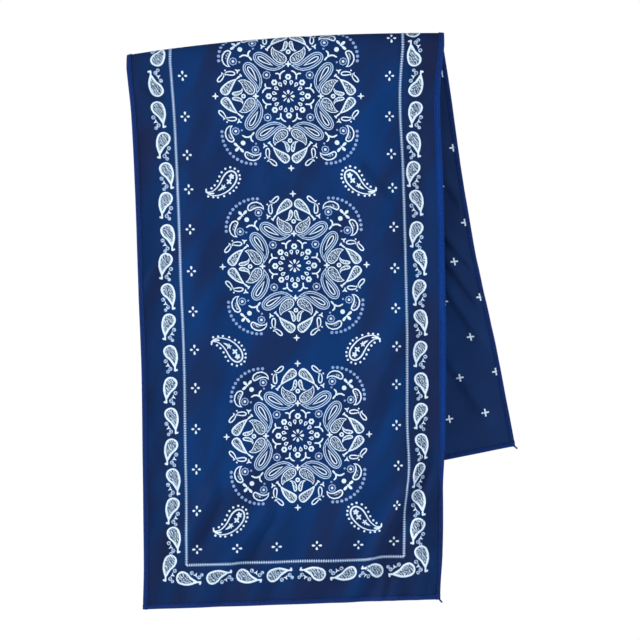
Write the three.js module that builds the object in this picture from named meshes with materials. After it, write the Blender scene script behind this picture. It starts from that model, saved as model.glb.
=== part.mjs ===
// A printed cooling towel, folded once over a round rail and hanging by that fold.
// Millimetres, +Z up. X runs along the rail, the front leg hangs towards -Y and the shorter
// back leg swings out towards +X behind it. The origin is on the rail's axis at mid-width.
import * as THREE from "three";

// Driving sizes
const towelWidth = 305; // laid flat, over the thread edges
const towelLength = 980; // laid flat, over the thread edges
const clothWall = 1.1;
const railDiameter = 22; // the round rail that the towel is sized to hang on
const railClearance = 0.3; // between the rail and the thread edges that pass over it
const frontLength = 551; // cloth from the top of the fold to the front hem, at mid-width
const crownDrop = 21.4; // how much lower the fold lies at its left end than at its right
const crownBow = 2.3; // how the fold bows between its ends: 1 is a straight slope, 2 an even curve
const threadWall = 0.7; // thickness of the thread wrapped round the raw edges
const threadBite = 3; // how far that thread reaches in over the cloth
const threadGap = 0.3; // between thread and cloth, and between two thread edges at a corner

// Where the mesh has its lines
const columns = 27;
const frontRows = 27;
const crownRows = 8;
const backRows = 17;

// Each leg, in rows from the rail to the hem. down: share of the leg's length. shift: how far the
// row's middle has moved to the right, and spread: its width, as shares of the towel's width.
// tilt: degrees that its right end is raised. curl, at the back, where the rows straighten out: how
// much of the crown's curve a row still has.
const frontShape = [
  { down: 0.0, shift: 0.0, spread: 1.0, tilt: 0.0 },
  { down: 0.09, shift: 0.001, spread: 0.971, tilt: 0.0 },
  { down: 0.24, shift: 0.012, spread: 0.967, tilt: 0.5 },
  { down: 0.39, shift: 0.019, spread: 0.964, tilt: 0.9 },
  { down: 0.54, shift: 0.026, spread: 0.958, tilt: 1.0 },
  { down: 0.69, shift: 0.027, spread: 0.953, tilt: 1.2 },
  { down: 0.81, shift: 0.027, spread: 0.948, tilt: 1.7 },
  { down: 0.9, shift: 0.026, spread: 0.944, tilt: 2.1 },
  { down: 1.0, shift: 0.019, spread: 0.939, tilt: 1.9 },
];
const backShape = [
  { down: 0.0, shift: 0.0, spread: 1.0, tilt: 0.0, curl: 1 },
  { down: 0.1, shift: 0.025, spread: 0.99, tilt: 1.2, curl: 0.9 },
  { down: 0.3, shift: 0.071, spread: 0.972, tilt: 4.0, curl: 0.6 },
  { down: 0.5, shift: 0.122, spread: 0.962, tilt: 6.5, curl: 0.35 },
  { down: 0.75, shift: 0.196, spread: 0.957, tilt: 9.3, curl: 0.15 },
  { down: 1.0, shift: 0.259, spread: 0.96, tilt: 11.5, curl: 0.0 },
];

// Folds of each leg. across: where the fold runs at its middle, lean: how far it moves across for
// each leg's length down, depth: height outwards (negative: a valley), wide: half-width. All four
// are shares, of the towel's width or of the leg. from and to: shares of the leg it runs between.
const frontFolds = [
  { across: -0.3, lean: 0.02, depth: 0.013, wide: 0.085, from: 0.03, to: 0.8 }, // left wave
  { across: -0.44, lean: 0.0, depth: -0.007, wide: 0.05, from: 0.1, to: 1.0 }, // left margin
  { across: 0.02, lean: 0.05, depth: 0.007, wide: 0.12, from: 0.2, to: 0.9 }, // middle wave
  { across: 0.29, lean: 0.02, depth: 0.013, wide: 0.075, from: 0.03, to: 0.5 }, // right wave
  { across: 0.42, lean: 0.0, depth: -0.008, wide: 0.045, from: 0.1, to: 0.7 }, // right margin
  { across: 0.5, lean: 0.0, depth: 0.01, wide: 0.05, from: 0.05, to: 0.95 }, // right lip
  { across: 0.29, lean: -0.6, depth: 0.012, wide: 0.06, from: 0.4, to: 0.74 }, // upper slant
  { across: 0.33, lean: -1.0, depth: -0.014, wide: 0.06, from: 0.66, to: 1.04 }, // big crease
  { across: 0.22, lean: -1.0, depth: 0.017, wide: 0.07, from: 0.6, to: 1.06 }, // crease's ridge
  { across: 0.44, lean: -0.6, depth: 0.013, wide: 0.07, from: 0.74, to: 1.1 }, // corner ridge
  { across: -0.21, lean: -0.7, depth: 0.012, wide: 0.065, from: 0.66, to: 1.1 }, // low left ridge
  { across: -0.04, lean: -0.9, depth: 0.012, wide: 0.06, from: 0.7, to: 1.1 }, // low middle ridge
  { across: -0.13, lean: -0.8, depth: -0.008, wide: 0.06, from: 0.7, to: 1.1 }, // valley between
];
const backFolds = [
  { across: -0.33, lean: 0.05, depth: 0.014, wide: 0.08, from: 0.1, to: 1.1 }, // left wave
  { across: -0.16, lean: 0.08, depth: -0.008, wide: 0.07, from: 0.2, to: 1.1 }, // left valley
  { across: 0.0, lean: 0.08, depth: 0.016, wide: 0.085, from: 0.1, to: 1.1 }, // middle wave
  { across: 0.19, lean: 0.06, depth: -0.008, wide: 0.06, from: 0.15, to: 1.1 }, // right valley
  { across: 0.33, lean: 0.03, depth: 0.013, wide: 0.07, from: 0.15, to: 1.1 }, // right wave
];

// Worked out from those
const threadStand = threadGap + threadWall; // how far the thread stands out past the raw edge
const threadLip = threadBite + threadGap; // cloth that the thread covers, with its gap
const bendRadius = railDiameter / 2 + railClearance + threadStand + clothWall / 2;
const quarterTurn = (Math.PI / 2) * bendRadius;
const backLength = towelLength - frontLength;

// A column of a table at any place between its rows, as one smooth line through them.
function readTable(rows, column, at) {
  const place = THREE.MathUtils.clamp(at, rows[0].down, rows[rows.length - 1].down);
  let i = 0;
  while (i < rows.length - 2 && place > rows[i + 1].down) i += 1;
  const slope = (k) => {
    const before = rows[Math.max(k - 1, 0)];
    const after = rows[Math.min(k + 1, rows.length - 1)];
    return (after[column] - before[column]) / (after.down - before.down);
  };
  const span = rows[i + 1].down - rows[i].down;
  const u = (place - rows[i].down) / span;
  const ends = [rows[i][column], rows[i + 1][column]];
  return (
    ends[0] * (1 + 2 * u) * (1 - u) ** 2 +
    ends[1] * u * u * (3 - 2 * u) +
    span * u * (1 - u) * (slope(i) * (1 - u) - slope(i + 1) * u)
  );
}

// How far a leg stands out from its hanging plane at one place, over all of its folds.
function foldStand(folds, across, down) {
  let stand = 0;
  for (const fold of folds) {
    const middle = (fold.from + Math.min(fold.to, 1)) / 2;
    const off = (across - fold.across - fold.lean * (down - middle)) / fold.wide;
    const fade = (fold.to - fold.from) / 3;
    const starts = THREE.MathUtils.smoothstep(down, fold.from, fold.from + fade);
    const stops = 1 - THREE.MathUtils.smoothstep(down, fold.to - fade, fold.to);
    stand += fold.depth * towelWidth * Math.exp(-off * off) * starts * stops;
  }
  return stand;
}

// Height of the fold over the rail: it falls away in one curve towards the left.
function crownHeight(share) {
  return crownDrop * (0.5 ** crownBow - Math.max(0.5 - share, 0) ** crownBow);
}

// The middle of the cloth's thickness. across: mm from mid-width, along: mm from the front hem.
function clothPoint(across, along) {
  const share = across / towelWidth;
  const height = crownHeight(share);
  const past = along - frontLength - height;
  if (Math.abs(past) <= quarterTurn) {
    const turn = past / bendRadius;
    const y = bendRadius * Math.sin(turn);
    return new THREE.Vector3(across, y, height + bendRadius * Math.cos(turn));
  }
  const front = past < 0;
  const shape = front ? frontShape : backShape;
  const hang = Math.abs(past) - quarterTurn;
  const down = hang / ((front ? frontLength : backLength) - quarterTurn);
  const spread = readTable(shape, "spread", down) * across;
  const tilt = THREE.MathUtils.degToRad(readTable(shape, "tilt", down));
  const x = readTable(shape, "shift", down) * towelWidth + spread * Math.cos(tilt);
  const stand = bendRadius + foldStand(front ? frontFolds : backFolds, share, down);
  const rise = front ? 0 : 2 * height * (readTable(shape, "curl", down) - 1);
  return new THREE.Vector3(x, front ? -stand : stand, height + rise - hang + spread * Math.sin(tilt));
}

// The cloth's own directions at a place: out to the right, on towards the back hem, and its face.
function clothFrame(across, along) {
  const step = 0.5;
  const right = clothPoint(across + step, along).sub(clothPoint(across - step, along)).normalize();
  const onward = clothPoint(across, along + step).sub(clothPoint(across, along - step)).normalize();
  const face = new THREE.Vector3().crossVectors(right, onward).normalize();
  return { point: clothPoint(across, along), right, onward, face };
}

// Places in even steps from one to another, both ends included.
function evenPlaces(from, to, steps) {
  return Array.from({ length: steps + 1 }, (_, i) => THREE.MathUtils.lerp(from, to, i / steps));
}

// The mesh's lines along the towel: one at each raw side, one where the thread's lip ends, and
// even steps between.
function columnPlaces() {
  const raw = towelWidth / 2 - threadStand;
  return [-raw, ...evenPlaces(threadLip - raw, raw - threadLip, columns), raw];
}

// The mesh's lines across the towel, the same way, but closer round the rail. Each keeps to the
// curve of the fold.
function rowPlaces(across) {
  const crest = frontLength + crownHeight(across / towelWidth);
  const start = crest - quarterTurn;
  const end = crest + quarterTurn;
  const raw = towelLength - threadStand;
  return [
    threadStand,
    ...evenPlaces(threadStand + threadLip, start, frontRows),
    ...evenPlaces(start, end, crownRows).slice(1),
    ...evenPlaces(end, raw - threadLip, backRows).slice(1),
    raw,
  ];
}

// One closed body from rows of points, each row with a front line and a back line that face each
// other point for point: two faces, a wall along each side and a cap at each end. Each four-sided
// patch is split along its shorter diagonal, so that pieces that lie along each other split alike.
function closedWall(rows) {
  const width = rows[0].front.length;
  const points = rows.flatMap((row) => [...row.front, ...row.back]);
  const at = (row, column, back) => (row * 2 + (back ? 1 : 0)) * width + column;
  const index = [];
  const quad = (a, b, c, d) => {
    if (points[a].distanceTo(points[c]) < points[b].distanceTo(points[d])) {
      index.push(a, b, c, a, c, d);
    } else {
      index.push(a, b, d, b, c, d);
    }
  };
  for (let i = 0; i < rows.length - 1; i += 1) {
    for (let j = 0; j < width - 1; j += 1) {
      quad(at(i, j), at(i, j + 1), at(i + 1, j + 1), at(i + 1, j));
      quad(at(i, j, true), at(i + 1, j, true), at(i + 1, j + 1, true), at(i, j + 1, true));
    }
    quad(at(i, 0), at(i + 1, 0), at(i + 1, 0, true), at(i, 0, true));
    quad(at(i, width - 1), at(i, width - 1, true), at(i + 1, width - 1, true), at(i + 1, width - 1));
  }
  const last = rows.length - 1;
  for (let j = 0; j < width - 1; j += 1) {
    quad(at(0, j), at(0, j, true), at(0, j + 1, true), at(0, j + 1));
    quad(at(last, j), at(last, j + 1), at(last, j + 1, true), at(last, j, true));
  }
  const geometry = new THREE.BufferGeometry().setFromPoints(points);
  geometry.setIndex(index);
  geometry.computeVertexNormals();
  return geometry;
}

function clothGeometry() {
  const lines = columnPlaces().map((across) =>
    rowPlaces(across).map((along) => clothFrame(across, along)),
  );
  const rows = lines[0].map((_, i) => ({
    front: lines.map((line) => line[i].point.clone().addScaledVector(line[i].face, clothWall / 2)),
    back: lines.map((line) => line[i].point.clone().addScaledVector(line[i].face, -clothWall / 2)),
  }));
  return closedWall(rows);
}

// The section of a thread edge: lip, round the raw edge, lip. out is measured from the raw edge.
function threadSection() {
  const inner = clothWall / 2 + threadGap;
  const outer = inner + threadWall;
  const shoulder = 0.5; // share of the thickness at which the round of the edge begins
  return {
    front: [
      { out: -threadBite, up: outer },
      { out: threadGap, up: outer },
      { out: threadStand, up: outer * shoulder },
      { out: threadStand, up: -outer * shoulder },
      { out: threadGap, up: -outer },
      { out: -threadBite, up: -outer },
    ],
    back: [
      { out: -threadBite, up: inner },
      { out: threadGap, up: inner },
      { out: threadGap, up: inner * shoulder },
      { out: threadGap, up: -inner * shoulder },
      { out: threadGap, up: -inner },
      { out: -threadBite, up: -inner },
    ],
  };
}

// A thread edge along the raw edge. Each place has the cloth's frame at the raw edge and, a lip
// further in, the frame at the cloth's next line, so that the lips lie along the cloth.
function threadGeometry(places) {
  const section = threadSection();
  const put = (place, spots) =>
    spots.map((spot) => {
      const inwards = Math.max(-spot.out, 0) / threadLip;
      const outwards = Math.max(spot.out, 0);
      const face = place.raw.face.clone().lerp(place.next.face, inwards).normalize();
      return place.raw.point
        .clone()
        .lerp(place.next.point, inwards)
        .addScaledVector(place.outward, outwards)
        .addScaledVector(face, spot.up);
    });
  return closedWall(
    places.map((place) => ({ front: put(place, section.front), back: put(place, section.back) })),
  );
}

// side: 1 for the right edge, -1 for the left. It runs past both raw ends, over the corners.
function sideEdgeGeometry(side) {
  const across = side * (towelWidth / 2 - threadStand);
  const stops = [0, ...rowPlaces(across).slice(1, -1), towelLength];
  const places = stops.map((along) => {
    const raw = clothFrame(across, along);
    const next = clothFrame(across - side * threadLip, along);
    return { raw, next, outward: raw.right.clone().multiplyScalar(side) };
  });
  if (side < 0) places.reverse();
  return threadGeometry(places);
}

// end: -1 for the front hem, 1 for the back hem. It lies between the two side edges.
function endEdgeGeometry(end) {
  const along = end < 0 ? threadStand : towelLength - threadStand;
  const stops = columnPlaces().slice(1, -1);
  const places = stops.map((across) => {
    const raw = clothFrame(across, along);
    const next = clothFrame(across, along - end * threadLip);
    return { raw, next, outward: raw.onward.clone().multiplyScalar(end) };
  });
  if (end > 0) places.reverse();
  return threadGeometry(places);
}

const clothMaterial = new THREE.MeshStandardMaterial({
  color: 0x16346a,
  roughness: 0.85,
  metalness: 0,
});
const threadMaterial = new THREE.MeshStandardMaterial({
  color: 0x1f2f86,
  roughness: 0.7,
  metalness: 0,
});

const towel = new THREE.Group();

function addPiece(name, geometry, material) {
  const piece = new THREE.Mesh(geometry, material);
  piece.name = name;
  towel.add(piece);
}

addPiece("towel_cloth", clothGeometry(), clothMaterial);
addPiece("edge_left", sideEdgeGeometry(-1), threadMaterial);
addPiece("edge_right", sideEdgeGeometry(1), threadMaterial);
addPiece("edge_front", endEdgeGeometry(-1), threadMaterial);
addPiece("edge_back", endEdgeGeometry(1), threadMaterial);

export default towel;
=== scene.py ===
import math

import bmesh
import bpy
import numpy as np
from mathutils import Matrix, Vector


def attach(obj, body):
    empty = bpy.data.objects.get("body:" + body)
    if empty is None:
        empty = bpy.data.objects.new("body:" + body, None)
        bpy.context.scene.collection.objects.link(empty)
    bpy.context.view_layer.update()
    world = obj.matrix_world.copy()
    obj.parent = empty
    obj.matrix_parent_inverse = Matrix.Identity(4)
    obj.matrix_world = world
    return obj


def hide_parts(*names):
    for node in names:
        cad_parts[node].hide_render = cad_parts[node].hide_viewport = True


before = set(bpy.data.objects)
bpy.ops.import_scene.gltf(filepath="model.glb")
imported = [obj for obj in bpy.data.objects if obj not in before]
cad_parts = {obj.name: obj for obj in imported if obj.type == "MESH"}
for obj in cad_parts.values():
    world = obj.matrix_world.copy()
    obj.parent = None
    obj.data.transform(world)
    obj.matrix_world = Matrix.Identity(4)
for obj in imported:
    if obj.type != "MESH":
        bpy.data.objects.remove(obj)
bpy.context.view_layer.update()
print("frame loaded")

mm = 0.001
quarter = math.pi / 2


# Shader maths as plain expressions. A Flow is one output socket of a material.
def operation(kind, turned=False):
    def work(flow, *others):
        values = (*others, flow) if turned else (flow, *others)
        return flow.shader.node("ShaderNodeMath", {"operation": kind}, dict(enumerate(values)))

    return work


class Flow:
    def __init__(self, shader, socket):
        self.shader = shader
        self.socket = socket

    __add__ = operation("ADD")
    __sub__ = operation("SUBTRACT")
    __rsub__ = operation("SUBTRACT", turned=True)
    __mul__ = operation("MULTIPLY")
    __truediv__ = operation("DIVIDE")
    fraction = operation("FRACT")
    size = operation("ABSOLUTE")
    sine = operation("SINE")

    def between(self, low, high):
        return self.shader.node("ShaderNodeMapRange", {"interpolation_type": "SMOOTHSTEP"},
                                {"Value": self, "From Min": low, "From Max": high})


class Shader:
    def __init__(self, name, kind=bpy.data.materials, base="Principled BSDF", **finish):
        self.material = kind.new(name)
        self.material.use_nodes = True
        self.tree = self.material.node_tree
        self.base = self.tree.nodes[base]
        for socket, value in finish.items():
            self.set(socket.replace("_", " "), value)

    def node(self, kind, settings, values, output=0):
        made = self.tree.nodes.new(kind)
        for name, value in settings.items():
            setattr(made, name, value)
        for name, value in values.items():
            if isinstance(value, Flow):
                self.tree.links.new(value.socket, made.inputs[name])
            else:
                made.inputs[name].default_value = value
        return Flow(self, made.outputs[output])

    def set(self, socket, value):
        if isinstance(value, Flow):
            self.tree.links.new(value.socket, self.base.inputs[socket])
        else:
            self.base.inputs[socket].default_value = value

    def mix(self, share, low, high):
        return self.node("ShaderNodeMix", {"data_type": "RGBA"}, {0: share, 6: low, 7: high}, output=2)

    def noise(self, place, scale, detail):
        return self.node("ShaderNodeTexNoise", {}, {"Vector": place, "Scale": scale, "Detail": detail})

    def bump(self, height, strength, distance):
        self.set("Normal", self.node("ShaderNodeBump", {},
                                     {"Height": height, "Strength": strength, "Distance": distance}))


# The towel's sizes and its hang, the same as the solids have
towel = {
    "width": 305 * mm,
    "length": 980 * mm,
    "wall": 1.1 * mm,
    "rail": 22 * mm,  # diameter of what it hangs on
    "underCrown": 1.3 * mm,  # thread and gap between rail and cloth
    "front": 551 * mm,  # cloth from the fold's top to the front hem, at mid-width
    "crownDrop": 21.4 * mm,  # how much lower the fold is at its left end
    "crownBow": 2.3,  # how the fold bows between its ends
    "rawEdge": 1.0 * mm,  # how far the thread stands past the cloth's raw edge
    "columnPitch": 2.7 * mm,  # of the cloth's lattice, across, along and over the fold
    "rowPitch": 2.8 * mm,
    "crownPitch": 1.6 * mm,
}


# Rows of numbers, each under the names of its columns
def table(columns, rows):
    return [dict(zip(columns.split(), row)) for row in rows]


# Each leg at some shares of its way down: how far it is shifted, as a share of the width, how wide
# it hangs, its tilt in degrees and, for the back leg, how much of the fold's bow is left
frontShape = table("down shift spread tilt", (
    (0.0, 0.0, 1.0, 0.0),
    (0.09, 0.001, 0.971, 0.0),
    (0.24, 0.012, 0.967, 0.5),
    (0.39, 0.019, 0.964, 0.9),
    (0.54, 0.026, 0.958, 1.0),
    (0.69, 0.027, 0.953, 1.2),
    (0.81, 0.027, 0.948, 1.7),
    (0.9, 0.026, 0.944, 2.1),
    (1.0, 0.019, 0.939, 1.9),
))
backShape = table("down shift spread tilt curl", (
    (0.0, 0.0, 1.0, 0.0, 1.0),
    (0.1, 0.025, 0.99, 1.2, 0.9),
    (0.3, 0.071, 0.972, 4.0, 0.6),
    (0.5, 0.122, 0.962, 6.5, 0.35),
    (0.75, 0.196, 0.957, 9.3, 0.15),
    (1.0, 0.259, 0.96, 11.5, 0.0),
))
# Soft folds: the place across as a share of the width, how far it leans on its way down, the depth
# and width as shares of the width, and from where to where down the leg it runs
frontFolds = table("across lean depth wide from to", (
    (-0.3, 0.02, 0.013, 0.085, 0.03, 0.8),
    (-0.44, 0.0, -0.007, 0.05, 0.1, 1.0),
    (0.02, 0.05, 0.007, 0.12, 0.2, 0.9),
    (0.29, 0.02, 0.013, 0.075, 0.03, 0.5),
    (0.42, 0.0, -0.008, 0.045, 0.1, 0.7),
    (0.5, 0.0, 0.01, 0.05, 0.05, 0.95),
    (0.29, -0.6, 0.012, 0.06, 0.4, 0.74),
    (0.33, -1.0, -0.014, 0.06, 0.66, 1.04),
    (0.22, -1.0, 0.017, 0.07, 0.6, 1.06),
    (0.44, -0.6, 0.013, 0.07, 0.74, 1.1),
    (-0.21, -0.7, 0.012, 0.065, 0.66, 1.1),
    (-0.04, -0.9, 0.012, 0.06, 0.7, 1.1),
    (-0.13, -0.8, -0.008, 0.06, 0.7, 1.1),
))
backFolds = table("across lean depth wide from to", (
    (-0.33, 0.05, 0.014, 0.08, 0.1, 1.1),
    (-0.16, 0.08, -0.008, 0.07, 0.2, 1.1),
    (0.0, 0.08, 0.016, 0.085, 0.1, 1.1),
    (0.19, 0.06, -0.008, 0.06, 0.15, 1.1),
    (0.33, 0.03, 0.013, 0.07, 0.15, 1.1),
))
# Sharper creases than the solids show, in mm: from one flat place (across, along) to another, how
# far each stands out towards the camera, how wide it is, and how much cloth it takes up
creases = table("from to rise wide pull", (
    ((135, 147), (62, 8), 10.4, 8.6, 2.8),
    ((-77, 117), (-110, 60), 5.4, 5.4, 0.4),
    ((-21, 96), (-72, 33), 6.0, 5.6, 0.5),
    ((104, 257), (67, 153), 4.4, 8, 0.3),
    ((148, 123), (124, 53), 5.4, 6.2, 0.4),
    ((97, 26), (91, 0), 3.4, 4.6, 0.3),
    ((111, 24), (104, 0), 3.1, 4.6, 0.3),
    ((136, 30), (129, 0), 3.5, 4.6, 0.3),
    ((149, 48), (141, 4), 3.8, 4.8, 0.3),
    ((65, 425), (102, 380), 3.2, 6, 0.3),
    ((-146, 501), (-124, 475), 2.0, 5, 0.2),
    ((-153, 294), (-130, 332), 1.6, 5, 0.1),
    ((-142, 253), (-107, 244), 1.2, 4.6, 0.1),
    ((120, 756), (149, 802), 5.0, 5.4, 0.6),
    ((117, 780), (146, 838), 4.2, 5.4, 0.5),
    ((112, 808), (141, 874), 4.4, 6, 0.5),
    ((100, 880), (133, 952), 3.4, 7, 0.4),
    ((130, 700), (148, 738), 2.6, 5, 0.3),
))
creaseForm = {
    "gentle": 1.5,  # how wide its two slopes are, in its own widths
    "steep": 0.75,
    "pullSlope": 1.2,
    "pullReach": 5,  # how far off it still draws the cloth in
    "comes": (-0.12, 0.2),  # shares of its length
    "goes": (0.8, 1.12),
    "offCrown": 40 * mm,  # creases and wrinkles fade out this close to the fold
}
# Soft wrinkles all over: how many across and along each metre, and how high
wrinkles = [(21, 7, 0.45 * mm), (33, -11, 0.28 * mm), (-14, 23, 0.35 * mm), (9, 31, 0.2 * mm)]
wrinkleSway = {"across": 1.7, "along": 2.3, "size": 1.6}  # waves each metre, and radians
bendRadius = towel["rail"] / 2 + towel["underCrown"] + towel["wall"] / 2
quarterTurn = quarter * bendRadius


def readTable(rows, column, at):
    downs = np.array([row["down"] for row in rows])
    values = np.array([row[column] for row in rows])
    place = np.clip(at, downs[0], downs[-1])
    low = np.clip(np.searchsorted(downs, place, side="right") - 1, 0, len(rows) - 2)
    order = np.arange(len(rows))
    before = np.maximum(order - 1, 0)
    after = np.minimum(order + 1, len(rows) - 1)
    slopes = (values[after] - values[before]) / (downs[after] - downs[before])
    span = downs[low + 1] - downs[low]
    u = (place - downs[low]) / span
    ends = values[low] * (1 + 2 * u) * (1 - u) ** 2 + values[low + 1] * u * u * (3 - 2 * u)
    return ends + span * u * (1 - u) * (slopes[low] * (1 - u) - slopes[low + 1] * u)


def smoothStep(value, low, high):
    t = np.clip((value - low) / (high - low), 0, 1)
    return t * t * (3 - 2 * t)


def foldStand(folds, share, down):
    stand = np.zeros_like(down)
    for fold in folds:
        middle = (fold["from"] + min(fold["to"], 1)) / 2
        off = (share - fold["across"] - fold["lean"] * (down - middle)) / fold["wide"]
        fade = (fold["to"] - fold["from"]) / 3  # it comes and goes over a third of its length
        starts = smoothStep(down, fold["from"], fold["from"] + fade)
        stops = 1 - smoothStep(down, fold["to"] - fade, fold["to"])
        stand += fold["depth"] * towel["width"] * np.exp(-off * off) * starts * stops
    return stand


def crownHeight(share):
    bow = towel["crownBow"]
    return towel["crownDrop"] * (0.5 ** bow - np.maximum(0.5 - share, 0) ** bow)


# How far the creases and wrinkles stand out, and how far they draw the cloth aside and along
def creaseStand(across, along):
    places = np.stack([across, along], axis=-1)
    stand = np.zeros_like(across)
    pull = np.zeros((2, *across.shape))
    for crease in creases:
        start, end = (np.array(crease[name]) * mm for name in ("from", "to"))
        length = np.hypot(*(end - start))
        onward = (end - start) / length
        aside = np.array((-onward[1], onward[0]))
        share = (places - start) @ onward / length
        off = (places - start) @ aside / (crease["wide"] * mm)
        fade = smoothStep(share, *creaseForm["comes"]) * (1 - smoothStep(share, *creaseForm["goes"]))
        slope = np.where(off < 0, creaseForm["gentle"], creaseForm["steep"])
        stand += crease["rise"] * mm * np.exp(-(off / slope) ** 2) * fade
        nearness = np.exp(-(off / creaseForm["pullReach"]) ** 2)
        draw = -crease["pull"] * mm * np.tanh(creaseForm["pullSlope"] * off) * nearness * fade
        pull += draw * aside[:, None, None]
    for k, (perAcross, perAlong, rise) in enumerate(wrinkles):
        wave = math.tau * (wrinkleSway["along"] * along + wrinkleSway["across"] * across)
        sway = np.sin(wave + k) * wrinkleSway["size"]
        stand += rise * np.sin(math.tau * (perAcross * across + perAlong * along) + sway + 2 * k)
    return stand, pull


# The middle of the cloth's thickness, for arrays of places laid flat
def clothMiddle(across, along):
    share = across / towel["width"]
    height = crownHeight(share)
    past = along - towel["front"] - height
    turn = np.clip(past / bendRadius, -quarter, quarter)
    hang = np.maximum(np.abs(past) - quarterTurn, 0)
    sides = []
    for shape, folds, legLength in ((frontShape, frontFolds, towel["front"]),
                                    (backShape, backFolds, towel["length"] - towel["front"])):
        down = hang / (legLength - quarterTurn)
        spread = readTable(shape, "spread", down) * across
        tilt = np.radians(readTable(shape, "tilt", down))
        x = readTable(shape, "shift", down) * towel["width"] + spread * np.cos(tilt)
        stand = foldStand(folds, share, down)
        rise = 2 * height * (readTable(shape, "curl", down) - 1) if shape is backShape else 0
        sides.append((x, stand, rise + spread * np.sin(tilt)))
    front = past < 0
    x, stand, lift = (np.where(front, a, b) for a, b in zip(*sides))
    crease, pull = creaseStand(across, along)
    free = smoothStep(hang, 0, creaseForm["offCrown"])
    y = bendRadius * np.sin(turn) + np.where(front, -stand, stand) - crease * free
    z = height + bendRadius * np.cos(turn) - hang + lift + np.where(front, pull[1], -pull[1]) * free
    return np.stack([x + pull[0] * free, y, z], axis=-1)


# The cloth's own lattice: every piece on the towel is laid on it, so nothing floats or sinks
def latticeLines():
    halfWidth = towel["width"] / 2 - towel["rawEdge"]
    columns = np.linspace(-halfWidth, halfWidth, round(2 * halfWidth / towel["columnPitch"]) + 1)
    crests = towel["front"] + crownHeight(np.array([-0.5, 0.5]))
    stops = [towel["rawEdge"], crests[0] - quarterTurn, crests[1] + quarterTurn,
             towel["length"] - towel["rawEdge"]]
    pitches = [towel["rowPitch"], towel["crownPitch"], towel["rowPitch"]]
    rows = [np.array([stops[0]])]
    for start, end, pitch in zip(stops, stops[1:], pitches):
        rows.append(np.linspace(start, end, round((end - start) / pitch) + 1)[1:])
    return columns, np.concatenate(rows)


latticeColumns, latticeRows = latticeLines()
flatAcross, flatAlong = np.meshgrid(latticeColumns, latticeRows)
latticePoints = clothMiddle(flatAcross, flatAlong)
alongStep = np.gradient(latticePoints, latticeRows, axis=0)
acrossStep = np.gradient(latticePoints, latticeColumns, axis=1)
latticeFaces = np.cross(acrossStep, alongStep)
latticeFaces /= np.linalg.norm(latticeFaces, axis=-1, keepdims=True)


# The cell of the lattice that each place lies in, and how far across that cell it lies
def cellAt(lines, places):
    first = np.clip(np.searchsorted(lines, places) - 1, 0, len(lines) - 2)
    return first, ((places - lines[first]) / (lines[first + 1] - lines[first]))[:, None]


# Places on the cloth, for flat places and heights above the middle of its wall
def onCloth(across, along, height):
    j, u = cellAt(latticeColumns, across)
    i, v = cellAt(latticeRows, along)

    # each cell is two flat triangles, as the cloth's own faces are
    def blend(grid):
        low, high = grid[i, j], grid[i + 1, j + 1]
        right, up = grid[i, j + 1], grid[i + 1, j]
        byRight = low + (right - low) * u + (high - right) * v
        byUp = low + (up - low) * v + (high - up) * u
        return np.where(u > v, byRight, byUp)

    return blend(latticePoints) + blend(latticeFaces) * np.asarray(height)[:, None]


def asMesh(name, bm):
    mesh = bpy.data.meshes.new(name)
    bm.to_mesh(mesh)
    bm.free()
    return mesh


def addObject(name, data):
    added = bpy.data.objects.new(name, data)
    bpy.context.scene.collection.objects.link(added)
    return added


def addPiece(name, bm, *materials):
    mesh = asMesh(name, bm)
    piece = addObject(name, mesh)
    for material in materials:
        mesh.materials.append(material)
    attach(piece, "root")
    mesh.calc_loop_triangles()
    print(name, len(mesh.loop_triangles), "triangles")
    return piece


# The flat places of a mesh become its UV map, in metres, and the mesh is laid on the cloth
def layOnCloth(bm, wallSide=0.0):
    bm.verts.ensure_lookup_table()
    flat = np.array([vert.co[:] for vert in bm.verts])
    layer = bm.loops.layers.uv.new("flat")
    for face in bm.faces:
        for loop in face.loops:
            loop[layer].uv = loop.vert.co.xy
    placed = onCloth(flat[:, 0], flat[:, 1], flat[:, 2] + wallSide * towel["wall"] / 2)
    for vert, place in zip(bm.verts, placed):
        vert.co = place


# A sheet of faces through rows of places
def addGrid(bm, places):
    last = (len(places[0]) - 1, len(places) - 1)
    made = bmesh.ops.create_grid(bm, x_segments=last[0], y_segments=last[1], size=0.5)["verts"]
    for vert in made:
        j, i = (round((vert.co[axis] + 0.5) * last[axis]) for axis in range(2))
        vert.co = places[i][j]


knit = {
    "wale": 1.15 * mm,  # pitch of its columns of loops
    "course": 0.85 * mm,  # pitch of its rows
    "depth": 0.12 * mm,
    "lean": 1.2,  # how far the two sides of a loop lean
    "groove": 1.6,  # how deep it is between two columns
}


# A place on the cloth laid flat, in metres, as one flow and as two: across and along
def flatPlace(shader):
    place = shader.node("ShaderNodeUVMap", {"uv_map": "flat"}, {})
    parts = [shader.node("ShaderNodeSeparateXYZ", {}, {"Vector": place}, output=axis) for axis in "XY"]
    return place, *parts


def knitHeight(across, along):
    wale = (across / knit["wale"]).fraction() - 0.5
    loops = ((along / knit["course"] - wale.size() * knit["lean"]) * math.tau).sine()
    return (loops * 0.5 + 0.5) * (1 - wale.size() * knit["groove"])


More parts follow.
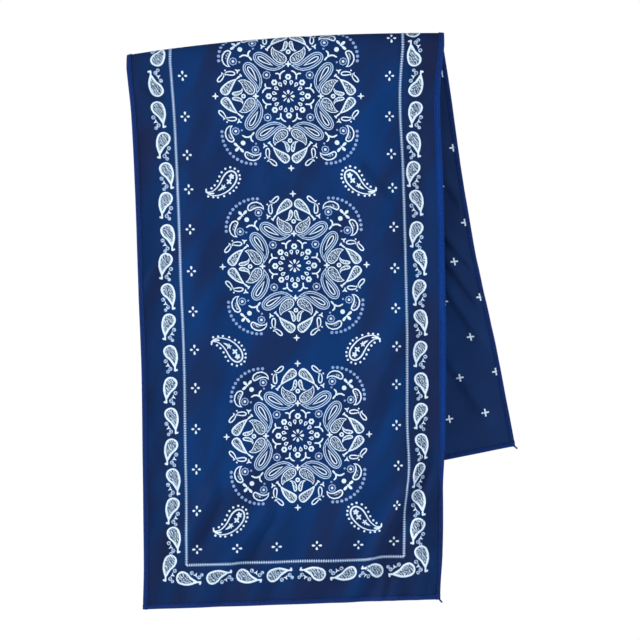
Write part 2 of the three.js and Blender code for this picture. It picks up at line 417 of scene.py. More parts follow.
clothLook = {
    # Each cloth has two tones for its field and two darker ones for painted shade at its margins
    "tones": {
        "printedCloth": {"field": ((0.0058, 0.0204, 0.083, 1), (0.0022, 0.0298, 0.132, 1)),
                         "shadedMargin": ((0.007, 0.0142, 0.055, 1), (0.003, 0.0206, 0.087, 1))},
        "reverseCloth": {"field": ((0.0084, 0.031, 0.118, 1), (0.0074, 0.0342, 0.131, 1)),
                         "shadedMargin": ((0.0078, 0.0238, 0.09, 1), (0.007, 0.0264, 0.1, 1))},
    },
    "streakX": (26, -14),  # slanting streaks of random tone with painted sheen and fold shade: cells each metre across and along the towel
    "streakY": (3, 7),
    "streakBand": (0.38, 0.62),
    # Where the painted shade at the margins begins and is full, and how dark it gets
    "sides": (100 * mm, 135 * mm),  # off the middle of the width
    "hems": (360 * mm, 460 * mm),  # off the middle of the length
    "fold": (5 * mm, 60 * mm),  # off the fold, full at the fold
    "sideShade": 0.9,
    "hemShade": 0.6,  # and the fold's
    "bump": 0.35,
}


def clothShader(name):
    shader = Shader(name, Roughness=0.85, Specular_IOR_Level=0.08)
    across, along = flatPlace(shader)[1:]
    x, y = (across * clothLook[way][0] + along * clothLook[way][1] for way in ("streakX", "streakY"))
    slanted = shader.node("ShaderNodeCombineXYZ", {}, {"X": x, "Y": y})
    # random tone mixed with painted sheen and painted fold shade, in slanting streaks
    toneAndSheen = shader.noise(slanted, 1.0, 2.0).between(*clothLook["streakBand"])
    tones = clothLook["tones"][name]
    field, shadedMargin = (shader.mix(toneAndSheen, *tones[part]) for part in ("field", "shadedMargin"))
    # painted shade: the cloth is darker towards its sides, its hems and the fold
    atSides = across.size().between(*clothLook["sides"])
    atHems = (along - towel["length"] / 2).size().between(*clothLook["hems"])
    atFold = 1 - (along - towel["front"]).size().between(*clothLook["fold"])
    paintedShade = atSides * clothLook["sideShade"] + (atHems + atFold) * clothLook["hemShade"]
    shader.set("Base Color", shader.mix(paintedShade, field, shadedMargin))
    shader.bump(knitHeight(across, along), clothLook["bump"], knit["depth"])
    return shader.material


printedCloth = clothShader("printedCloth")
reverseCloth = clothShader("reverseCloth")


def makeCloth():
    bm = bmesh.new()
    addGrid(bm, np.stack([flatAcross, flatAlong, np.zeros_like(flatAcross)], axis=-1))
    bmesh.ops.triangulate(bm, faces=bm.faces[:], quad_method="FIXED")
    layOnCloth(bm)
    for face in bm.faces:
        face.smooth = True
    piece = addPiece("clothSheet", bm, printedCloth, reverseCloth)
    wall = piece.modifiers.new("wall", "SOLIDIFY")
    wall.thickness = towel["wall"]
    wall.offset = 0
    wall.material_offset = 1
    return piece


cloth = makeCloth()
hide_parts("towel_cloth")
print("cloth done")


# The print is thin raised ink. Each motif is drawn once, flat, in the chart's units, and laid on
# the cloth at each of its places.
chart = {
    "unit": 0.958 * mm,
    "widen": 1.036,  # the waves of the hanging cloth narrow the print again by this much
    "cell": 3.8,  # units, the longest face, so that the ink bends with the cloth
    "fineCell": 2.4,  # the same near the border, where the creases are sharper
    "proud": 0.18 * mm,
    "sunk": 0.06 * mm,
    "middle": 487 * mm,  # the print's middle, from the front hem
    "offset": 2.7 * mm,  # the motifs' middle, right of the cloth's
    "slant": -0.0035,  # the print runs this much askew on the cloth
}
whiteInk, hatchInk, blueInk, paleInk = 0, 1, 2, 3
inkLook = {
    "white": (0.63, 0.77, 0.92, 1),
    "blue": (0.21, 0.33, 0.62, 1),
    "pale": (0.4, 0.57, 0.81, 1),
    "worn": 0.86,  # how bright it still is where it is worn
    "wearScale": 900,
    "wearBand": (0.3, 0.75),
    "bump": 0.3,
}
# Broken, wandering slanted lines fill some figures
hatch = {
    "line": (0.44, 0.57, 0.7, 1),
    "ground": (0.009, 0.034, 0.1, 1),
    "pitch": 2.7 * mm,
    "slope": 0.8,
    "wander": 2.2,
    "wanderScale": 260,
    "lineBand": (0.18, 0.32),  # in pitches, from the middle between two lines
    "breakScale": 820,
    "breakBand": (0.3, 0.5),
}


def inkShader(name, color):
    shader = Shader(name, Roughness=0.62)
    place, across, along = flatPlace(shader)
    wear = shader.noise(place, inkLook["wearScale"], 2.0).between(*inkLook["wearBand"])
    wornColor = [inkLook["worn"] * part for part in color[:3]] + [1]
    shader.set("Base Color", shader.mix(wear, color, wornColor))
    shader.bump(knitHeight(across, along), inkLook["bump"], knit["depth"])
    return shader.material


def hatchShader():
    shader = Shader("hatchInk", Roughness=0.65)
    place, across, along = flatPlace(shader)
    wander = shader.noise(place, hatch["wanderScale"], 1.0) * hatch["wander"]
    rising = ((across + along * hatch["slope"]) / hatch["pitch"] + wander).fraction() - 0.5
    broken = shader.noise(place, hatch["breakScale"], 0.0).between(*hatch["breakBand"])
    lines = rising.size().between(*hatch["lineBand"]) * broken
    shader.set("Base Color", shader.mix(lines, hatch["ground"], hatch["line"]))
    shader.bump(knitHeight(across, along), inkLook["bump"], knit["depth"])
    return shader.material


inks = [inkShader("whiteInk", inkLook["white"]), hatchShader(), inkShader("blueInk", inkLook["blue"]),
        inkShader("paleInk", inkLook["pale"])]


# A place on the smooth line through some points, for a share of the way along it
def smoothPlace(points, share):
    place = share * (len(points) - 1)
    i = min(int(place), len(points) - 2)
    u = place - i
    a, b = points[i], points[i + 1]
    before = points[i - 1] if i else 2 * a - b
    after = points[i + 2] if i + 2 < len(points) else 2 * b - a
    return (a + 0.5 * u * (b - before + u * (2 * before - 5 * a + 4 * b - after
                                           + u * (3 * a - before - 3 * b + after))))


# A drop, petal or comma along its spine, which runs from its round end to its tip. sharp: how soon
# it narrows, soft: 1 for a drop, about 0.4 for an even stroke, inset: for the inner line of a rim.
def dropOutline(spine, wide, sharp=1.2, soft=1.0, inset=0.0, sides=16):
    line = [Vector(point) for point in spine]
    length = sum((b - a).length for a, b in zip(line, line[1:]))
    start = inset / length
    stop = 1 - 1.8 * start  # the narrow tip takes more of the rim
    peak = 1
    if soft == 1:
        peak = 2 * ((1 + sharp) / (2 + sharp)) ** ((1 + sharp) / 2) / (2 + sharp) ** 0.5
    outline = []
    for k in range(sides):
        turn = math.tau * k / sides
        share = start + (stop - start) * (1 + math.cos(turn)) / 2
        onward = smoothPlace(line, min(share + 0.01, 1)) - smoothPlace(line, max(share - 0.01, 0))
        aside = onward.orthogonal().normalized()
        evenness = math.copysign(abs(math.sin(turn)) ** soft, math.sin(turn))
        swell = evenness * math.sin(turn / 2) ** sharp / peak
        outline.append(smoothPlace(line, share) + aside * swell * (wide / 2 - inset))
    return outline


# A dot, or with rays a star or flower: waist is the radius between two rays, as a share
def starOutline(x, y, radius, rays=0, waist=1.0, turn=0.0, power=2.0, sides=10, detail=4):
    count = rays * detail if rays else sides
    outline = []
    for k in range(count):
        angle = math.tau * k / count
        reach = radius * (waist + (1 - waist) * abs(math.cos(rays * angle / 2)) ** power)
        outline.append(Vector((x + reach * math.cos(angle + turn), y + reach * math.sin(angle + turn))))
    return outline


# Bands between outlines that lie inside each other, each in its own ink, None for bare cloth
def addBands(bm, outlines, bandInks):
    circle = bmesh.ops.create_circle(bm, cap_ends=True, segments=len(outlines[0]), radius=1)
    core = circle["verts"][0].link_faces[0]
    bands = [bmesh.ops.inset_region(bm, faces=[core], thickness=0.1, use_boundary=True)["faces"]
             for outline in outlines[1:]]
    loop = list(core.verts)
    placed = set(loop)
    for outline in reversed(outlines):
        for vert, place in zip(loop, outline):
            vert.co = (*place, 0)
        further = [[edge.other_vert(vert) for edge in vert.link_edges] for vert in loop]
        loop = [vert for verts in further for vert in verts if vert not in placed]
        placed.update(loop)
    for faces, ink in zip(bands + [[core]], bandInks):
        if ink is None:
            bmesh.ops.delete(bm, geom=faces, context="FACES")
        else:
            for face in faces:
                face.material_index = ink


def dropRims(spine, wide, insets, **form):
    return [dropOutline(spine, wide, inset=inset, **form) for inset in insets]


def addDrop(bm, spine, wide, line=None, fill=None, ink=whiteInk, **form):
    insets = (0, line) if line else (0,)
    addBands(bm, dropRims(spine, wide, insets, **form), [ink, fill])


def addStroke(bm, spine, wide, ink=whiteInk):
    addDrop(bm, spine, wide, ink=ink, sharp=0, soft=0.4, sides=10)


def addStar(bm, x, y, radius, ink=whiteInk, **form):
    addBands(bm, [starOutline(x, y, radius, **form)], [ink])


def addRing(bm, x, y, radius, line, ink=whiteInk, fill=None, **form):
    addBands(bm, [starOutline(x, y, reach, **form) for reach in (radius, radius - line)], [ink, fill])


def addCopy(bm, matrix):
    copied = bmesh.ops.duplicate(bm, geom=bm.verts[:] + bm.edges[:] + bm.faces[:])["geom"]
    verts = [part for part in copied if isinstance(part, bmesh.types.BMVert)]
    bmesh.ops.transform(bm, matrix=matrix, verts=verts)


# Cuts a flat motif on a small grid, so that its faces can bend with the cloth
def cutToCells(bm, cell):
    for axis in range(2):
        sides = [vert.co[axis] for vert in bm.verts]
        stop = max(sides)
        line = (math.floor(min(sides) / cell) + 0.5) * cell
        while line < stop:
            place, way = Vector((0, 0, 0)), Vector((0, 0, 0))
            place[axis], way[axis] = line, 1
            bmesh.ops.bisect_plane(bm, geom=bm.verts[:] + bm.edges[:] + bm.faces[:], dist=cell * 1e-4,
                                   plane_co=place, plane_no=way)
            line += cell


def asStamp(name, bm, cell=chart["cell"]):
    cutToCells(bm, cell)
    return asMesh(name, bm)


# Where a stamp lies: across from the motifs' middle, along from the print's middle
def stampPlace(across, along, turn=0.0, mirror=False):
    place = (chart["offset"] + across + chart["slant"] * along, chart["middle"] + along, 0)
    units = Matrix.Diagonal((chart["unit"] * chart["widen"], chart["unit"], 1, 1))
    mirroring = Matrix.Diagonal((-1 if mirror else 1, 1, 1, 1))
    return Matrix.Translation(place) @ units @ Matrix.Rotation(turn, 4, "Z") @ mirroring


def layPrint(name, stamp, places, wallSide=1):
    bm = bmesh.new()
    for place in places:
        first = len(bm.verts)
        bm.from_mesh(stamp)
        bm.verts.ensure_lookup_table()
        bmesh.ops.transform(bm, matrix=place, verts=bm.verts[first:])
    bpy.data.meshes.remove(stamp)
    bm.normal_update()
    bmesh.ops.reverse_faces(bm, faces=[face for face in bm.faces if face.normal.z < 0])
    bmesh.ops.solidify(bm, geom=bm.faces[:], thickness=chart["proud"])
    for vert in bm.verts:
        upper = abs(vert.co.z) > chart["proud"] / 2
        vert.co.z = wallSide * (chart["proud"] if upper else -chart["sunk"])
    bmesh.ops.recalc_face_normals(bm, faces=bm.faces[:])
    layOnCloth(bm, wallSide)
    piece = addPiece(name, bm, *inks)
    return piece


diagonalSwap = Matrix(((0, 1, 0, 0), (1, 0, 0, 0), (0, 0, 1, 0), (0, 0, 0, 1)))


def ray(angle):
    return Vector((math.cos(angle), math.sin(angle)))


def addFlower(bm, x, y, radius):
    addRing(bm, x, y, radius, 1.2, ink=blueInk, rays=8, waist=0.86, detail=2)
    addStar(bm, x, y, 1.4, sides=8)


def addBud(bm, x, y):
    addRing(bm, x, y, 3.2, 2.1, rays=6, waist=0.86, detail=2)


# One of the eight like parts of the round ornament, right of the upward axis
def addEighth(bm):
    # the comma near the corner, with a flower and a dot
    corner = [(44.8, 55.4), (41.7, 59.6), (36.2, 61.4), (31.4, 59.6), (29.2, 56.0)]
    addDrop(bm, corner, 7.4, line=1.4, sides=20)
    addDrop(bm, [(43.2, 57.6), (39.6, 60.0), (35.6, 60.6)], 2.2, ink=hatchInk, sides=10)
    addFlower(bm, 34.8, 53.5, 4.2)
    addStar(bm, 34.0, 47.4, 1.1, ink=blueInk, sides=6)
    # two small hooked drops, with a dot and a three-armed twig
    addDrop(bm, [(14.2, 69.6), (17.4, 66.4), (21.0, 63.9), (24.0, 65.4)], 4.8, line=1.2, sides=14)
    addDrop(bm, [(22.3, 51.5), (22.8, 56.0), (22.6, 60.8), (20.4, 61.8)], 4.9, line=1.2, sides=14)
    addStar(bm, 25.7, 61.6, 0.9, sides=6)
    addStar(bm, 25.2, 49.6, 3.1, rays=3, waist=0.25, turn=0.95, power=3)
    # the large leaf, with its stalk
    leaf = [(1.8, 64.9), (5.8, 62.0), (12.4, 56.6), (17.8, 50.0)]
    addDrop(bm, leaf, 9.8, line=1.7, fill=hatchInk, sides=20)
    addStroke(bm, [(17.3, 50.8), (20.8, 46.4)], 1.7)
    addStroke(bm, [(19.5, 45.3), (22.3, 47.5)], 1.4)
    # the small leaf and the comma between the large one and the swirl
    smallLeaf = [(2.4, 56.0), (2.6, 51.0), (4.6, 46.4), (8.4, 45.2)]
    addDrop(bm, smallLeaf, 4.4, line=1.1, fill=hatchInk, sides=14)
    comma = [(2.4, 34.0), (6.6, 37.6), (11.4, 41.0), (14.6, 45.0), (15.4, 49.6)]
    addBands(bm, dropRims(comma, 10.2, (0, 1.0, 1.7)), [whiteInk, None, hatchInk])
    # the swirl: two rims and a slot
    swirl = [(33.4, 41.8), (27.0, 37.8), (19.6, 32.6), (12.0, 29.4), (2.6, 31.0)]
    slot = [(29.6, 39.4), (22.6, 35.0), (14.6, 30.4)]
    rims = dropRims(swirl, 13.4, (0, 1.05, 2.1, 2.95), sharp=0.9, sides=22)
    slotRims = dropRims(slot, 4.8, (0, 1.1), sides=22)
    addBands(bm, rims + slotRims, [paleInk, None, paleInk, None, whiteInk, None])
    # a forked twig and two petals near the middle
    for twig in ([(8.1, 20.8), (9.6, 22.6), (12.9, 22.6)], [(8.1, 20.8), (6.3, 24.0), (2.8, 25.6)],
                 [(8.1, 21.6), (8.0, 16.7)]):
        addStroke(bm, twig, 1.5)
    for angle in (77.8, 56.3):
        out = ray(math.radians(angle))
        addDrop(bm, [out * 16.4, out * 11.2], 3.6, line=1.0, sides=12)
    addDrop(bm, [(46.6, 55.9), (50.8, 50.8)], 2.8, sides=10)  # side leaf of the corner's sprig


# What lies across the diagonal: a sprig, a branch, a flower, a bud and an arc of beads
def addDiagonal(bm):
    addDrop(bm, [(54.8, 54.8), (49.8, 49.8)], 3.0, sides=10)
    addStar(bm, 46.7, 46.7, 2.4)
    for branch in ([(35.2, 35.8), (38.2, 39.6)], [(38.0, 39.2), (42.6, 41.2), (47.6, 38.8)],
                   [(38.2, 39.4), (38.9, 42.9), (36.3, 45.8)]):
        addStroke(bm, branch, 1.7)
    addFlower(bm, 21.2, 21.2, 4.3)
    addBud(bm, 13.7, 13.7)
    beads = {"count": 12, "middle": 37.2, "radius": 30.2, "spread": 97}
    for k in range(beads["count"]):
        angle = math.radians(45 + beads["spread"] * (k / (beads["count"] - 1) - 0.5))
        place = Vector((beads["middle"], beads["middle"])) + ray(angle) * beads["radius"]
        addStar(bm, *place, 1.6, ink=blueInk, sides=8)


# The round ornament, drawn in the chart's units from its middle
def makeMedallion():
    bm = bmesh.new()
    addEighth(bm)
    addCopy(bm, diagonalSwap)
    addDiagonal(bm)
    addCopy(bm, Matrix.Diagonal((-1, 1, 1, 1)))
    addCopy(bm, Matrix.Diagonal((1, -1, 1, 1)))
    for k in range(4):
        out = ray(k * quarter)
        aslant = out + Vector((-out.y, out.x))
        addStar(bm, *(out * 72), 3.5, rays=4, waist=0.3, power=3)
        addRing(bm, *(out * 44.4), 2.4, 1.5, sides=8)
        addStar(bm, *(out * 32.2), 3.3, rays=4, waist=0.35)
        addBud(bm, *(out * 19.4))
        addDrop(bm, [out * 6.4, out * 2.0], 2.8, sides=10)
        addDrop(bm, [aslant * 5.0, aslant * 1.3], 1.3, sides=8)
    return asStamp("medallion", bm)


ornaments = {"pitch": 162.5 * mm, "steps": range(-2, 3)}
ornamentPlaces = [stampPlace(0, step * ornaments["pitch"]) for step in ornaments["steps"]]
onTheCloth = [layPrint("printMedallions", makeMedallion(), ornamentPlaces)]


# The comma-shaped figures of the border, each with its twig and its small dots
def makeBorderDrop():
    bm = bmesh.new()
    spine = [(2.7, 11.3), (0.4, 5.0), (-3.0, -1.6), (-4.4, -11.8)]
    addDrop(bm, spine, 13.4, line=1.9, fill=hatchInk, sharp=1.0, sides=22)
    addStroke(bm, [(-4.3, -10.2), (-4.2, -14.9)], 1.8)
    addDrop(bm, [(-7.0, -12.8), (-3.8, -14.6)], 1.9, sides=8)
    addStar(bm, 2.9, -8.6, 2.7, rays=3, waist=0.2, turn=quarter, power=3)
    for x, y, radius in ((5.1, -4.4, 2.0), (0.5, -12.2, 2.0), (3.0, -14.9, 1.7)):
        addRing(bm, x, y, radius, 0.7, ink=paleInk, fill=hatchInk, sides=8)
    return asStamp("borderDrop", bm, chart["fineCell"])


border = {
    "halfWidth": 111.5 * mm,  # of the frame line
    "halfLength": 445.5 * mm,
    "frameMiddle": 1.2 * mm,  # right of the cloth's middle
    "line": 0.6 * mm,
    "tick": 1.1 * mm,
    "tickWide": 0.85 * mm,
    "tickPitch": 2.3 * mm,
    "sideMiddle": -2.8 * mm,  # the side figures' own middle, from the print's
    # Side figures, in mm: along the towel from their middle, and outside the frame line
    "sides": ((13.4, 15.3), (42.5, 11.9), (71.1, 10.4), (99.1, 12.3), (129.7, 11.7), (156.8, 14.5),
              (185.8, 13.3), (214.7, 13.8), (244.8, 13.3), (275.2, 14.2), (304.5, 13.6), (333.9, 14.2),
              (362.2, 12.8), (389.6, 13.7), (417.0, 13.0), (443.5, 16.9)),
    "ends": (18.3, 49.0, 79.8, 110.7),  # end figures, in mm from the middle
    "endOut": 12.5 * mm,
    "crosses": (19.5, 56.0, 88.6, 126.5, 166.2, 204.7, 241.3, 277.8, 316.9, 355.2, 394.3),
    "crossIn": 10.8 * mm,
    "endCrosses": (20.2, 60.6, 101.0),
    "endCrossIn": 14.6 * mm,
    "endShift": -1.1 * mm,
}
frameShift = border["frameMiddle"] - chart["offset"]


def borderPlaces():
    places = []
    for half in (-1, 1):  # the front half, then the back half
        turnedOver = 0 if half < 0 else math.pi
        for step, (fromMiddle, outside) in enumerate(border["sides"]):
            for side in (-1, 1):
                # the head leans inwards or outwards by turns
                mirrored = (step % 2 == 0) == (side < 0)
                across = frameShift + side * (border["halfWidth"] + outside * mm)
                along = border["sideMiddle"] + half * fromMiddle * mm
                places.append(stampPlace(across, along, turnedOver, mirrored))
        for step, fromMiddle in enumerate(border["ends"]):
            for side in (-1, 1):
                across = border["endShift"] + side * fromMiddle * mm
                along = half * (border["halfLength"] + border["endOut"])
                leans = (step % 2 == 1) == (side < 0)
                places.append(stampPlace(across, along, -side * quarter, leans == (half > 0)))
    return places


onTheCloth.append(layPrint("printBorder", makeBorderDrop(), borderPlaces()))


def addPlate(bm, place, size):
    lay = Matrix.Translation((*place, 0)) @ Matrix.Diagonal((*size, 1, 1))
    bmesh.ops.create_grid(bm, x_segments=1, y_segments=1, size=0.5, matrix=lay)


# Fine ticks on both sides of the frame line's two sides that run along one axis
def addTicks(bm, size, axis):
    line, tick = border["line"], border["tick"]
    count = round(size[axis] / border["tickPitch"])
    for k in range(count):
        for side, beside in ((-1, -1), (-1, 1), (1, -1), (1, 1)):
            place, plate = Vector((0, 0)), Vector((tick, tick))
            place[axis] = ((k + 0.5) / count - 0.5) * size[axis]
            place[1 - axis] = side * (size[1 - axis] - line + beside * (line + tick)) / 2
            plate[axis] = border["tickWide"]
            addPlate(bm, place, plate)


# The thin line round the middle field, with its fringe of ticks
def makeFrameLine():
    bm = bmesh.new()
    size = Vector((2 * border["halfWidth"] + border["line"], 2 * border["halfLength"] + border["line"]))
    addPlate(bm, (0, 0), size)
    bmesh.ops.inset_region(bm, faces=bm.faces[:], thickness=border["line"], use_boundary=True,
                           use_even_offset=True)
    inside = max(bm.faces, key=lambda face: face.calc_area())
    bmesh.ops.delete(bm, geom=[inside], context="FACES")
    cutToCells(bm, chart["fineCell"] * chart["unit"])
    for axis in range(2):
        addTicks(bm, size, axis)
    for face in bm.faces:
        face.material_index = paleInk
    return asMesh("frameLine", bm)


framePlace = Matrix(((1, chart["slant"], 0, border["frameMiddle"]),
                     (0, 1, 0, chart["middle"]),
                     (0, 0, 1, 0),
                     (0, 0, 0, 1)))
onTheCloth.append(layPrint("printFrame", makeFrameLine(), [framePlace]))


# Four petals, in rows just inside the frame line
def makeCross():
    bm = bmesh.new()
    for k in range(4):
        out = ray(k * quarter)
        reach = 5.1 if k % 2 else 4.5
        addDrop(bm, [out * reach, out * 1.4], 2.2, sharp=0.8, sides=10)
    return asStamp("cross", bm, chart["fineCell"])


def crossPlaces():
    places = []
    for half in (-1, 1):
        for side in (-1, 1):
            across = frameShift + side * (border["halfWidth"] - border["crossIn"])
            places += [stampPlace(across, half * fromMiddle * mm) for fromMiddle in border["crosses"]]
            along = half * (border["halfLength"] - border["endCrossIn"])
            for fromMiddle in border["endCrosses"]:
                across = border["endShift"] + side * fromMiddle * mm
                places.append(stampPlace(across, along, quarter))
    return places


onTheCloth.append(layPrint("printCrosses", makeCross(), crossPlaces()))


# The large hooked figures between the round ornaments, with a row of dots round each
hooked = {
    "aside": {-1: 69.2 * mm, 1: 66.8 * mm},  # left and right
    "rows": (81.2, 243.8, 404.0),  # in mm from the print's middle
    "dots": ((-10.7, -6.7), (-7.4, -3.8), (-4.4, 0.4), (-2.4, 4.9), (0.0, 9.0), (3.8, 12.5), (8.8, 14.0),
             (13.2, 12.6), (16.5, 10.0), (17.7, 6.1), (17.9, 2.3), (16.4, -1.8), (14.0, -6.0), (11.2, -9.3),
             (7.4, -11.7), (1.6, -14.5), (-4.6, -15.8), (-9.3, -15.5), (-14.3, -14.8)),
}


def makeHookedDrop():
    bm = bmesh.new()
    spine = [(12.0, 10.6), (9.2, 4.8), (6.2, 0.0), (2.0, -5.5), (-3.5, -9.7), (-9.6, -11.9), (-15.2, -10.8),
             (-15.9, -6.6)]
    addDrop(bm, spine, 14.6, line=1.5, sharp=2.2, sides=36)
    addStroke(bm, [(-7.6, -11.6), (-12.4, -12.0), (-16.0, -10.2), (-15.9, -6.8)], 2.0)
    for dot in hooked["dots"]:
        addStar(bm, *dot, 1.15, sides=8)
    addStar(bm, 9.6, 4.9, 3.1, rays=5, waist=0.6, turn=0.4)
    addStar(bm, 7.0, -0.2, 3.4, rays=4, waist=0.4, turn=0.8)
    addStar(bm, 1.2, -5.4, 3.0, rays=5, waist=0.35, turn=1.0)
    addDrop(bm, [(0.4, -6.6), (-4.6, -9.2)], 1.9, sides=10)
    return asStamp("hookedDrop", bm)


def hookedPlaces():
    places = []
    for half in (-1, 1):
        for k, row in enumerate(hooked["rows"]):
            upright = (k != 1) == (half < 0)
            for side in (-1, 1):
                place = stampPlace(side * hooked["aside"][side], half * row * mm, 0, side > 0)
                places.append(place @ Matrix.Diagonal((1, 1 if upright else -1, 1, 1)))
    return places


onTheCloth.append(layPrint("printHooked", makeHookedDrop(), hookedPlaces()))


# Plus marks in diagonal rows on the reverse
reverseMarks = {
    "size": 7.4 * mm,
    "arm": 1.5 * mm,
    "columnPitch": 18.4 * mm,
    "columns": 17,
    "rowPitch": 75.5 * mm,
    "firstRow": 0.5 * mm,  # from the back hem
}


def makePlus():
    bm = bmesh.new()
    longHalf, shortHalf = reverseMarks["size"] / 2, reverseMarks["arm"] / 2
    bmesh.ops.create_grid(bm, x_segments=3, y_segments=3, size=longHalf)
    for vert in bm.verts:
        for axis in range(2):
            if abs(vert.co[axis]) < longHalf / 2:
                vert.co[axis] = math.copysign(shortHalf, vert.co[axis])
    corners = [face for face in bm.faces if min(map(abs, face.calc_center_median().xy)) > shortHalf]
    bmesh.ops.delete(bm, geom=corners, context="FACES")
    return asMesh("plusMark", bm)


def plusPlaces():
    places = []
    middle = reverseMarks["columns"] // 2
    for column in range(-middle, middle + 1):
        fromHem = reverseMarks["firstRow"] + (column % 2) * reverseMarks["rowPitch"] / 2
        while fromHem < towel["length"] - reverseMarks["size"]:
            if fromHem > reverseMarks["size"]:
                place = (column * reverseMarks["columnPitch"], towel["length"] - fromHem, 0)
                places.append(Matrix.Translation(place))
            fromHem += reverseMarks["rowPitch"]
    return places


onTheCloth.append(layPrint("reverseMarks", makePlus(), plusPlaces(), wallSide=-1))
print("print done")


# The thread that binds the raw edge winds round it turn by turn, and a needle line runs along the
# turns' inner ends on both faces
thread = {
    "pitch": 1.5 * mm,  # from one turn to the next
    "wide": 1.5 * mm,
    "thick": 0.5 * mm,
    "out": 0.7 * mm,  # how far its middle stands out past the raw edge
    # how far in over the cloth it reaches, in mm, at some mm along the edge
    "bite": {
        "left": {0: 3.6},
        "right": {110: 3.4, 210: 5.4, 430: 5.4, 620: 3.4},
        "front": {0: 3.8},
        "back": {0: 3.6},
    },
    "uneven": 0.25 * mm,
    "flatness": 0.4,  # 1 for a round turn, less for one that lies flat on both faces
    "turnPoints": 10,
    "sides": 6,
    "fromCorner": 0.5 * mm,
    "dark": ((0.0048, 0.0225, 0.118, 1), (0.0068, 0.028, 0.155, 1)),
    # painted highlight: it is brighter along the right side of the front leg
    "paintedHighlight": ((0.0012, 0.0315, 0.18, 1), (0.0022, 0.039, 0.24, 1)),
    "highlightAside": (100 * mm, 140 * mm),
    "highlightFrom": (80 * mm, 200 * mm),
    "highlightTo": (400 * mm, 600 * mm),
    "shadeScale": 420,
    "shadeBand": (0.3, 0.7),
    "fuzzScale": 2600,
    "fuzz": 0.1 * mm,
}
needle = {
    "wide": 0.8 * mm,
    "stitch": 2.5 * mm,
    "inset": 0.3 * mm,  # from the turns' inner ends
    "stray": 0.1 * mm,
    "strayRate": 0.37,
    "lift": 1.1,  # over the wall, and how far each stitch dips, in thread thicknesses
    "dip": 0.35,
}
tail = {
    "length": 4.6 * mm,
    "wide": 1.7 * mm,
    "tucked": 0.3,  # the share of it that lies on the edge
    "from": 1.6 * mm,  # in from the raw edge, and how far out it strays from there
    "out": 4.0 * mm,
    "lift": 0.5 * mm,
    "swing": 4,
    "points": 12,
}


def threadShader():
    shader = Shader("edgeThread", Roughness=0.7, Specular_IOR_Level=0.1)
    place, across, along = flatPlace(shader)
    shade = shader.noise(place, thread["shadeScale"], 2.0).between(*thread["shadeBand"])
    dark, paintedHighlight = (shader.mix(shade, *thread[part]) for part in ("dark", "paintedHighlight"))
    begins, ends = (along.between(*thread[part]) for part in ("highlightFrom", "highlightTo"))
    # painted highlight along the right side of the front leg
    highlightMask = across.between(*thread["highlightAside"]) * begins * (1 - ends)
    shader.set("Base Color", shader.mix(highlightMask, dark, paintedHighlight))
    shader.bump(shader.noise(place, thread["fuzzScale"], 1.0), 0.4, thread["fuzz"])
    return shader.material


threadColor = threadShader()


# A closed thread along a path; beside is the way that its width runs
def addThread(bm, path, beside, wide, thick, sides=thread["sides"]):
    onward = np.gradient(path, axis=0)
    onward /= np.linalg.norm(onward, axis=1, keepdims=True)
    above = np.cross(onward, beside)
    above /= np.linalg.norm(above, axis=1, keepdims=True)
    turns = math.tau * np.arange(sides + 1) / sides
    rim = (np.cross(above, onward)[:, None] * (np.cos(turns) * wide / 2)[:, None]
           + above[:, None] * (np.sin(turns) * thick / 2)[:, None])
    addGrid(bm, path[:, None] + rim)


def biteAt(side, run):
    bites = thread["bite"][side]
    return np.interp(run / mm, list(bites), list(bites.values())) * mm


# Flat places at one side of the towel, for arrays of runs along it, ways in from it and heights
def besideEdge(side, run, inward, height):
    rawHalf = towel["width"] / 2 - towel["rawEdge"]
    places = {
        "left": (inward - rawHalf, run),
        "right": (rawHalf - inward, run),
        "front": (run, towel["rawEdge"] + inward),
        "back": (run, towel["length"] - towel["rawEdge"] - inward),
    }
    return np.stack([*places[side], height], axis=-1)


# The angle of each point of some turns, and its place along the side
def windings(start, stop, turns, points):
    angle = math.tau * np.arange(turns * points + 1) / points
    return angle, start + (stop - start) * angle / angle[-1]


# The thread that winds round the raw edge
def addTurns(bm, side, start, stop, beside, chance):
    turns = round((stop - start) / thread["pitch"])
    angle, run = windings(start, stop, turns, thread["turnPoints"])
    strays = chance.uniform(-1, 1, turns + 1) * thread["uneven"]
    stray = np.interp(angle, math.tau * np.arange(turns + 1), strays)
    reach = (biteAt(side, run) + thread["out"]) / 2
    inward = reach - thread["out"] + stray + (reach + stray) * np.cos(angle)
    lift = towel["wall"] / 2 + thread["thick"] / 2
    height = lift * np.sign(np.sin(angle)) * np.abs(np.sin(angle)) ** thread["flatness"]
    addThread(bm, besideEdge(side, run, inward, height), beside, thread["wide"], thread["thick"])


# The needle's stitches, on both faces
def addStitches(bm, side, start, stop, across):
    angle, run = windings(start, stop, round((stop - start) / needle["stitch"]), 4)
    inward = biteAt(side, run) - needle["inset"] + needle["stray"] * np.sin(angle * needle["strayRate"])
    for face in (-1, 1):
        over = thread["thick"] * (needle["lift"] + needle["dip"] * np.cos(angle))
        places = besideEdge(side, run, inward, face * (towel["wall"] / 2 + over))
        addThread(bm, places, across, needle["wide"], thread["thick"], 4)


def addTail(bm, side, end, way, across):
    share = np.linspace(0, 1, tail["points"])
    run = end + way * tail["length"] * (share - tail["tucked"])
    height = tail["lift"] * np.sin(share * tail["swing"])
    places = besideEdge(side, run, tail["from"] - tail["out"] * share, height)
    addThread(bm, places, across, tail["wide"], tail["wide"])


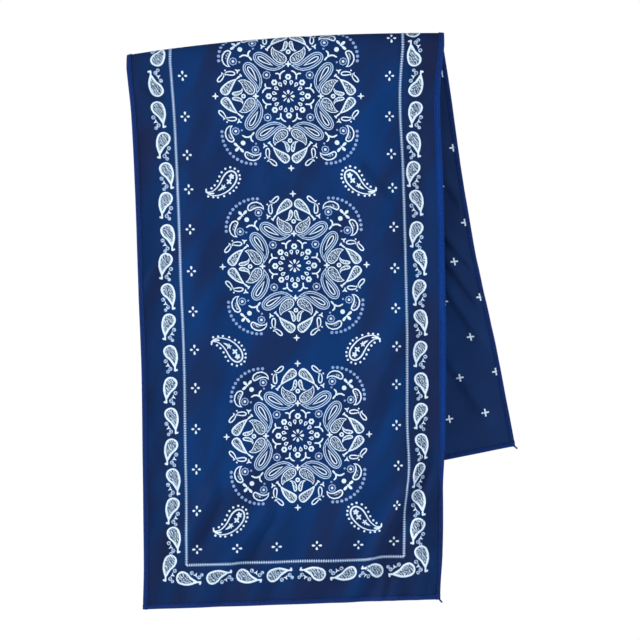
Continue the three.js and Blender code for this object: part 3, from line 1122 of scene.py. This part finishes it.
def makeEdge(side, start, stop, chance):
    bm = bmesh.new()
    ways = np.array(((0, 1, 0), (1, 0, 0)))
    beside, across = ways if side in ("left", "right") else ways[::-1]
    addTurns(bm, side, start, stop, beside, chance)
    addStitches(bm, side, start, stop, across)
    if side == "right":
        addTail(bm, side, start, -1, across)
        addTail(bm, side, stop, 1, across)
    bmesh.ops.remove_doubles(bm, verts=bm.verts, dist=0.001 * mm)
    openEdges = [edge for edge in bm.edges if edge.is_boundary]
    bmesh.ops.holes_fill(bm, edges=openEdges, sides=thread["sides"])
    layOnCloth(bm)
    bmesh.ops.recalc_face_normals(bm, faces=bm.faces[:])
    for face in bm.faces:
        face.smooth = True
    piece = addPiece("thread" + side.capitalize(), bm, threadColor)
    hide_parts("edge_" + side)
    return piece


chance = np.random.default_rng(5)
fromCorner = thread["fromCorner"]
for side in ("left", "right"):
    onTheCloth.append(makeEdge(side, fromCorner, towel["length"] - fromCorner, chance))
acrossEnd = towel["width"] / 2 - fromCorner
for side in ("front", "back"):
    onTheCloth.append(makeEdge(side, -acrossEnd, acrossEnd, chance))
print("edges done")

photo = {
    "pixels": 640,
    "pixel": 0.958 * mm,  # one pixel of the photo at the front leg
    "midline": 285.35,  # the pixel column of the towel's middle at the fold
    "crown": 36.5,  # the pixel row of the fold's top at mid-width
    "distance": 4.0,  # of the camera, from the front leg
}


def makeCamera():
    span = photo["pixels"] * photo["pixel"]
    camera = addObject("camera", bpy.data.cameras.new("camera"))
    camera.data.lens = camera.data.sensor_width * photo["distance"] / span
    top = bendRadius + towel["wall"] / 2
    middle = photo["pixels"] / 2
    camera.location = ((middle - photo["midline"]) * photo["pixel"],
                       -bendRadius - photo["distance"],
                       top - (middle - photo["crown"]) * photo["pixel"])
    camera.rotation_euler = (quarter, 0, 0)
    bpy.context.scene.camera = camera


# A pale floor, white walls all round, a dimmer ceiling and two soft lights
studio = {
    "floor": -1.25,  # the rail is this far above it
    "floorRadius": 6,
    "floorColor": (0.86, 0.87, 0.88, 1),
    "floorGlow": 0.55,
    "white": (0.98, 0.99, 1, 1),
    "walls": 1.02,
    "dimming": 0.85,
    "ceilingBand": (0.25, 0.6),  # how steeply upwards it begins and is full
    "target": (0.03, 0, -0.26),
    "lights": {
        "keyLight": {"place": (-2.6, -0.85, 1.2), "size": 0.9, "watts": 76},
        "fillLight": {"place": (2.2, -2.4, 0.3), "size": 1.6, "watts": 26},
    },
}


def addSoftbox(name, place, size, watts):
    light = addObject(name, bpy.data.lights.new(name, "AREA"))
    light.data.size = size
    light.data.energy = watts
    light.location = place
    aim = Vector(studio["target"]) - Vector(place)
    light.rotation_euler = aim.to_track_quat("-Z", "Y").to_euler()


def makeStage():
    bm = bmesh.new()
    bmesh.ops.create_circle(bm, cap_ends=True, segments=96, radius=studio["floorRadius"])
    bmesh.ops.translate(bm, verts=bm.verts, vec=(0, 0, studio["floor"]))
    mesh = asMesh("floor", bm)
    paleFloor = Shader("paleFloor", Base_Color=studio["floorColor"], Roughness=0.9,
                       Emission_Strength=studio["floorGlow"], Emission_Color=studio["white"])
    mesh.materials.append(paleFloor.material)
    addObject("floor", mesh)
    walls = Shader("studio", bpy.data.worlds, "Background", Color=studio["white"])
    direction = walls.node("ShaderNodeTexCoord", {}, {})
    upward = walls.node("ShaderNodeSeparateXYZ", {}, {"Vector": direction}, output="Z")
    ceiling = upward.between(*studio["ceilingBand"])
    walls.set("Strength", studio["walls"] - ceiling * studio["dimming"])
    bpy.context.scene.world = walls.material
    for name, light in studio["lights"].items():
        addSoftbox(name, **light)
    bpy.context.scene.view_settings.view_transform = "Standard"


makeCamera()
makeStage()
